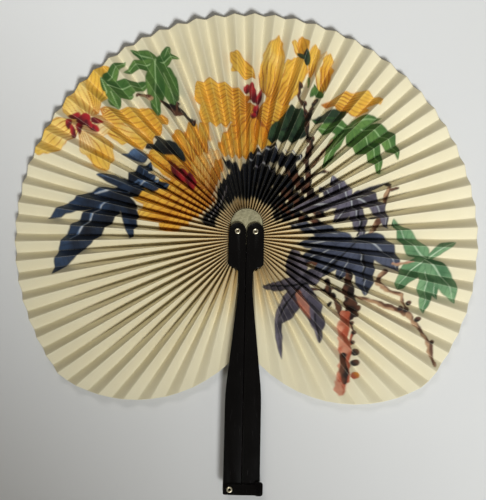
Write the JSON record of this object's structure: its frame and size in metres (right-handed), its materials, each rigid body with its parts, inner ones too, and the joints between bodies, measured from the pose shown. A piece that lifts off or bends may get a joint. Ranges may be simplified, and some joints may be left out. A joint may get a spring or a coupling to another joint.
{
  "type": "hand fan",
  "caption": "Round folding hand fan: pleated paper leaf on a small hub, split handle halves that swing round and close over it, and a turning clasp.",
  "frame": {"origin": "on the surface that the fan lies on, under the middle of its box", "axes": "+Z out of the painted front, +Y from the handle to the top of the leaf, +X to the right as the front is seen"},
  "size_m": [0.242, 0.2545, 0.0112],
  "materials": {
    "black_plastic": "near-black moulded plastic, satin with soft shine",
    "eyelet_metal": "pale lacquered brass, dulled",
    "hub_board": "speckled grey-olive board, matt",
    "lacing_thread": "waxed cotton thread",
    "leaf_paper": "cream paper with a matt printed painting of flowers, leaves and branches"
  },
  "bodies": {
    "left_half": {"handle_left": "black_plastic", "leaf_end_left": "leaf_paper"},
    "hub": {"hub_plate_front": "hub_board", "hub_plate_back": "hub_board", "eyelet_front_left": "eyelet_metal", "eyelet_front_right": "eyelet_metal", "eyelet_back_left": "eyelet_metal", "eyelet_back_right": "eyelet_metal", "lacing_cord": "lacing_thread"},
    "right_half": {"handle_right": "black_plastic", "leaf_end_right": "leaf_paper"},
    "clasp": {"clasp_strap": "black_plastic", "clasp_eyelet": "eyelet_metal"},
    "pleats_01": {"leaf_pleats_01": "leaf_paper"},
    "pleats_02": {"leaf_pleats_02": "leaf_paper"},
    "pleats_03": {"leaf_pleats_03": "leaf_paper"},
    "pleats_04": {"leaf_pleats_04": "leaf_paper"},
    "pleats_05": {"leaf_pleats_05": "leaf_paper"},
    "pleats_06": {"leaf_pleats_06": "leaf_paper"},
    "pleats_07": {"leaf_pleats_07": "leaf_paper"},
    "pleats_08": {"leaf_pleats_08": "leaf_paper"},
    "pleats_09": {"leaf_pleats_09": "leaf_paper"},
    "pleats_10": {"leaf_pleats_10": "leaf_paper"},
    "pleats_11": {"leaf_pleats_11": "leaf_paper"},
    "pleats_12": {"leaf_pleats_12": "leaf_paper"},
    "pleats_13": {"leaf_pleats_13": "leaf_paper"},
    "pleats_14": {"leaf_pleats_14": "leaf_paper"},
    "pleats_15": {"leaf_pleats_15": "leaf_paper"},
    "pleats_16": {"leaf_pleats_16": "leaf_paper"},
    "pleats_17": {"leaf_pleats_17": "leaf_paper"},
    "pleats_18": {"leaf_pleats_18": "leaf_paper"},
    "pleats_19": {"leaf_pleats_19": "leaf_paper"},
    "pleats_20": {"leaf_pleats_20": "leaf_paper"},
    "pleats_21": {"leaf_pleats_21": "leaf_paper"},
    "pleats_22": {"leaf_pleats_22": "leaf_paper"},
    "pleats_23": {"leaf_pleats_23": "leaf_paper"},
    "pleats_24": {"leaf_pleats_24": "leaf_paper"},
    "pleats_25": {"leaf_pleats_25": "leaf_paper"},
    "pleats_26": {"leaf_pleats_26": "leaf_paper"},
    "pleats_27": {"leaf_pleats_27": "leaf_paper"},
    "pleats_28": {"leaf_pleats_28": "leaf_paper"},
    "pleats_29": {"leaf_pleats_29": "leaf_paper"},
    "pleats_30": {"leaf_pleats_30": "leaf_paper"},
    "pleats_31": {"leaf_pleats_31": "leaf_paper"},
    "pleats_32": {"leaf_pleats_32": "leaf_paper"}
  },
  "joints": [
    {"name": "fold", "type": "hinge", "parent": "left_half", "child": "hub", "pos_m": [-0.00465, 0.00625, 0.0048], "axis": [0, 0, 1], "range_deg": [0, 180]},
    {"name": "right_half_fold", "type": "hinge", "parent": "hub", "child": "right_half", "pos_m": [0.00465, 0.00625, 0.0048], "axis": [0, 0, 1], "range_deg": [0, 180.05]},
    {"name": "clasp_turn", "type": "hinge", "parent": "left_half", "child": "clasp", "pos_m": [-0.00585, -0.12435, 0.0099], "axis": [0, 0, 1], "range_deg": [-180, 0]},
    {"name": "pleats_01_fold", "type": "hinge", "parent": "hub", "child": "pleats_01", "pos_m": [-0.00492, 0.00293, 0.0048], "axis": [0, 0, 1], "range_deg": [-171.45, 0], "deforming": ["leaf_pleats_01"]},
    {"name": "pleats_02_fold", "type": "hinge", "parent": "hub", "child": "pleats_02", "pos_m": [-0.00417, 0.00389, 0.0048], "axis": [0, 0, 1], "range_deg": [-155.36, 0], "deforming": ["leaf_pleats_02"]},
    {"name": "pleats_03_fold", "type": "hinge", "parent": "hub", "child": "pleats_03", "pos_m": [-0.00251, 0.00507, 0.0048], "axis": [0, 0, 1], "range_deg": [-141.06, 0], "deforming": ["leaf_pleats_03"]},
    {"name": "pleats_04_fold", "type": "hinge", "parent": "hub", "child": "pleats_04", "pos_m": [-0.00123, 0.00607, 0.0048], "axis": [0, 0, 1], "range_deg": [-129.21, 0], "deforming": ["leaf_pleats_04"]},
    {"name": "pleats_05_fold", "type": "hinge", "parent": "hub", "child": "pleats_05", "pos_m": [-0.00028, 0.0069, 0.0048], "axis": [0, 0, 1], "range_deg": [-118.95, 0], "deforming": ["leaf_pleats_05"]},
    {"name": "pleats_06_fold", "type": "hinge", "parent": "hub", "child": "pleats_06", "pos_m": [0.00049, 0.00765, 0.0048], "axis": [0, 0, 1], "range_deg": [-109.1, 0], "deforming": ["leaf_pleats_06"]},
    {"name": "pleats_07_fold", "type": "hinge", "parent": "hub", "child": "pleats_07", "pos_m": [0.00112, 0.00832, 0.0048], "axis": [0, 0, 1], "range_deg": [-99.39, 0], "deforming": ["leaf_pleats_07"]},
    {"name": "pleats_08_fold", "type": "hinge", "parent": "hub", "child": "pleats_08", "pos_m": [0.00158, 0.00889, 0.0048], "axis": [0, 0, 1], "range_deg": [-89.83, 0], "deforming": ["leaf_pleats_08"]},
    {"name": "pleats_09_fold", "type": "hinge", "parent": "hub", "child": "pleats_09", "pos_m": [0.00189, 0.00932, 0.0048], "axis": [0, 0, 1], "range_deg": [-80.32, 0], "deforming": ["leaf_pleats_09"]},
    {"name": "pleats_10_fold", "type": "hinge", "parent": "hub", "child": "pleats_10", "pos_m": [0.00202, 0.00956, 0.0048], "axis": [0, 0, 1], "range_deg": [-70.77, 0], "deforming": ["leaf_pleats_10"]},
    {"name": "pleats_11_fold", "type": "hinge", "parent": "hub", "child": "pleats_11", "pos_m": [0.00193, 0.00951, 0.0048], "axis": [0, 0, 1], "range_deg": [-61.06, 0], "deforming": ["leaf_pleats_11"]},
    {"name": "pleats_12_fold", "type": "hinge", "parent": "hub", "child": "pleats_12", "pos_m": [0.00167, 0.00924, 0.0048], "axis": [0, 0, 1], "range_deg": [-51.28, 0], "deforming": ["leaf_pleats_12"]},
    {"name": "pleats_13_fold", "type": "hinge", "parent": "hub", "child": "pleats_13", "pos_m": [0.00138, 0.00902, 0.0048], "axis": [0, 0, 1], "range_deg": [-41.48, 0], "deforming": ["leaf_pleats_13"]},
    {"name": "pleats_14_fold", "type": "hinge", "parent": "hub", "child": "pleats_14", "pos_m": [0.00107, 0.00884, 0.0048], "axis": [0, 0, 1], "range_deg": [-31.59, 0], "deforming": ["leaf_pleats_14"]},
    {"name": "pleats_15_fold", "type": "hinge", "parent": "hub", "child": "pleats_15", "pos_m": [0.00074, 0.00871, 0.0048], "axis": [0, 0, 1], "range_deg": [-21.72, 0], "deforming": ["leaf_pleats_15"]},
    {"name": "pleats_16_fold", "type": "hinge", "parent": "hub", "child": "pleats_16", "pos_m": [0.00041, 0.00863, 0.0048], "axis": [0, 0, 1], "range_deg": [-11.84, 0], "deforming": ["leaf_pleats_16"]},
    {"name": "pleats_17_fold", "type": "hinge", "parent": "hub", "child": "pleats_17", "pos_m": [0.00006, 0.0086, 0.0048], "axis": [0, 0, 1], "range_deg": [-1.75, 0], "deforming": ["leaf_pleats_17"]},
    {"name": "pleats_18_fold", "type": "hinge", "parent": "hub", "child": "pleats_18", "pos_m": [-0.00031, 0.00861, 0.0048], "axis": [0, 0, 1], "range_deg": [0, 8.94], "deforming": ["leaf_pleats_18"]},
    {"name": "pleats_19_fold", "type": "hinge", "parent": "hub", "child": "pleats_19", "pos_m": [-0.00068, 0.00869, 0.0048], "axis": [0, 0, 1], "range_deg": [0, 19.78], "deforming": ["leaf_pleats_19"]},
    {"name": "pleats_20_fold", "type": "hinge", "parent": "hub", "child": "pleats_20", "pos_m": [-0.00104, 0.00882, 0.0048], "axis": [0, 0, 1], "range_deg": [0, 30.59], "deforming": ["leaf_pleats_20"]},
    {"name": "pleats_21_fold", "type": "hinge", "parent": "hub", "child": "pleats_21", "pos_m": [-0.00138, 0.00902, 0.0048], "axis": [0, 0, 1], "range_deg": [0, 41.38], "deforming": ["leaf_pleats_21"]},
    {"name": "pleats_22_fold", "type": "hinge", "parent": "hub", "child": "pleats_22", "pos_m": [-0.00169, 0.00927, 0.0048], "axis": [0, 0, 1], "range_deg": [0, 52.12], "deforming": ["leaf_pleats_22"]},
    {"name": "pleats_23_fold", "type": "hinge", "parent": "hub", "child": "pleats_23", "pos_m": [-0.00197, 0.00955, 0.0048], "axis": [0, 0, 1], "range_deg": [0, 62.87], "deforming": ["leaf_pleats_23"]},
    {"name": "pleats_24_fold", "type": "hinge", "parent": "hub", "child": "pleats_24", "pos_m": [-0.002, 0.00952, 0.0048], "axis": [0, 0, 1], "range_deg": [0, 73.43], "deforming": ["leaf_pleats_24"]},
    {"name": "pleats_25_fold", "type": "hinge", "parent": "hub", "child": "pleats_25", "pos_m": [-0.00179, 0.00918, 0.0048], "axis": [0, 0, 1], "range_deg": [0, 83.88], "deforming": ["leaf_pleats_25"]},
    {"name": "pleats_26_fold", "type": "hinge", "parent": "hub", "child": "pleats_26", "pos_m": [-0.00138, 0.00864, 0.0048], "axis": [0, 0, 1], "range_deg": [0, 94.31], "deforming": ["leaf_pleats_26"]},
    {"name": "pleats_27_fold", "type": "hinge", "parent": "hub", "child": "pleats_27", "pos_m": [-0.00079, 0.00796, 0.0048], "axis": [0, 0, 1], "range_deg": [0, 104.83], "deforming": ["leaf_pleats_27"]},
    {"name": "pleats_28_fold", "type": "hinge", "parent": "hub", "child": "pleats_28", "pos_m": [0, 0.00717, 0.0048], "axis": [0, 0, 1], "range_deg": [0, 115.54], "deforming": ["leaf_pleats_28"]},
    {"name": "pleats_29_fold", "type": "hinge", "parent": "hub", "child": "pleats_29", "pos_m": [0.00097, 0.00629, 0.0048], "axis": [0, 0, 1], "range_deg": [0, 126.54], "deforming": ["leaf_pleats_29"]},
    {"name": "pleats_30_fold", "type": "hinge", "parent": "hub", "child": "pleats_30", "pos_m": [0.00227, 0.00525, 0.0048], "axis": [0, 0, 1], "range_deg": [0, 138.97], "deforming": ["leaf_pleats_30"]},
    {"name": "pleats_31_fold", "type": "hinge", "parent": "hub", "child": "pleats_31", "pos_m": [0.00403, 0.004, 0.0048], "axis": [0, 0, 1], "range_deg": [0, 153.95], "deforming": ["leaf_pleats_31"]},
    {"name": "pleats_32_fold", "type": "hinge", "parent": "hub", "child": "pleats_32", "pos_m": [0.00492, 0.00295, 0.0048], "axis": [0, 0, 1], "range_deg": [0, 170.97], "deforming": ["leaf_pleats_32"]}
  ],
  "couplings": [
    {"joint": "right_half_fold", "follows": "fold", "ratio": 1},
    {"joint": "pleats_01_fold", "follows": "fold", "ratio": -0.95197},
    {"joint": "pleats_02_fold", "follows": "fold", "ratio": -0.86254},
    {"joint": "pleats_03_fold", "follows": "fold", "ratio": -0.78309},
    {"joint": "pleats_04_fold", "follows": "fold", "ratio": -0.71725},
    {"joint": "pleats_05_fold", "follows": "fold", "ratio": -0.6603},
    {"joint": "pleats_06_fold", "follows": "fold", "ratio": -0.60556},
    {"joint": "pleats_07_fold", "follows": "fold", "ratio": -0.5516},
    {"joint": "pleats_08_fold", "follows": "fold", "ratio": -0.49853},
    {"joint": "pleats_09_fold", "follows": "fold", "ratio": -0.44566},
    {"joint": "pleats_10_fold", "follows": "fold", "ratio": -0.39259},
    {"joint": "pleats_11_fold", "follows": "fold", "ratio": -0.33864},
    {"joint": "pleats_12_fold", "follows": "fold", "ratio": -0.28435},
    {"joint": "pleats_13_fold", "follows": "fold", "ratio": -0.22986},
    {"joint": "pleats_14_fold", "follows": "fold", "ratio": -0.17492},
    {"joint": "pleats_15_fold", "follows": "fold", "ratio": -0.12012},
    {"joint": "pleats_16_fold", "follows": "fold", "ratio": -0.065225},
    {"joint": "pleats_17_fold", "follows": "fold", "ratio": -0.009161},
    {"joint": "pleats_18_fold", "follows": "fold", "ratio": 0.049131},
    {"joint": "pleats_19_fold", "follows": "fold", "ratio": 0.10932},
    {"joint": "pleats_20_fold", "follows": "fold", "ratio": 0.16939},
    {"joint": "pleats_21_fold", "follows": "fold", "ratio": 0.22931},
    {"joint": "pleats_22_fold", "follows": "fold", "ratio": 0.28902},
    {"joint": "pleats_23_fold", "follows": "fold", "ratio": 0.34874},
    {"joint": "pleats_24_fold", "follows": "fold", "ratio": 0.40737},
    {"joint": "pleats_25_fold", "follows": "fold", "ratio": 0.46542},
    {"joint": "pleats_26_fold", "follows": "fold", "ratio": 0.5234},
    {"joint": "pleats_27_fold", "follows": "fold", "ratio": 0.58186},
    {"joint": "pleats_28_fold", "follows": "fold", "ratio": 0.64136},
    {"joint": "pleats_29_fold", "follows": "fold", "ratio": 0.70243},
    {"joint": "pleats_30_fold", "follows": "fold", "ratio": 0.77149},
    {"joint": "pleats_31_fold", "follows": "fold", "ratio": 0.85474},
    {"joint": "pleats_32_fold", "follows": "fold", "ratio": 0.94928}
  ]
}
